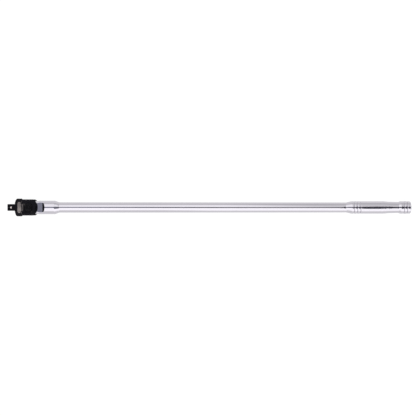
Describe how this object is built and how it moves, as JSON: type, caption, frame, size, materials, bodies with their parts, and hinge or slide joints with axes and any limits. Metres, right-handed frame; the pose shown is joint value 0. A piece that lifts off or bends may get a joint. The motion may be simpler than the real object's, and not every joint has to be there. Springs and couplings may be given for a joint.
{
  "type": "breaker bar",
  "caption": "Long chromed turning bar with a flex head: a forked black drive head with a half-inch square and sprung ball swings on a cross pin through the handle's flat tongue.",
  "frame": {"origin": "centre of the flat end face of the drive square, on the tool's long axis", "axes": "+X along the tool from the drive square to the grip, +Z along the hinge pin, towards the face of the square that carries the ball"},
  "size_m": [0.762, 0.0336, 0.0274],
  "materials": {
    "black_oxide_steel": "black oxide, satin",
    "polished_chrome": "mirror polished chrome plate",
    "blackened_pin_steel": "blackened, smooth",
    "spring_steel": "phosphated spring steel",
    "bearing_steel": "ground bearing steel",
    "spring_wire": "drawn spring wire"
  },
  "bodies": {
    "handle_body": {"handle": "polished_chrome"},
    "head_body": {"drive_head": "black_oxide_steel", "pivot_pin": "blackened_pin_steel", "retaining_ring_top": "spring_steel", "retaining_ring_bottom": "spring_steel", "socket_ball_spring": "spring_wire", "tension_spring": "spring_wire"},
    "socket_ball_body": {"socket_ball": "bearing_steel"},
    "tension_ball_body": {"tension_ball": "bearing_steel"}
  },
  "joints": [
    {"name": "head_flex", "type": "hinge", "parent": "handle_body", "child": "head_body", "pos_m": [0.0409, 0, 0], "axis": [0, 0, 1], "range_deg": [-90, 90]},
    {"name": "socket_ball_press", "type": "slide", "parent": "head_body", "child": "socket_ball_body", "axis": [0, 0, -1], "range_m": [0, 0.0011], "stiffness_N_per_m": 600, "springref_m": -0.0015, "deforming": ["socket_ball_spring"]},
    {"name": "tension_ball_press", "type": "slide", "parent": "head_body", "child": "tension_ball_body", "axis": [-1, 0, 0], "range_m": [0, 0.0007], "stiffness_N_per_m": 900, "springref_m": -0.0015, "deforming": ["tension_spring"]}
  ]
}
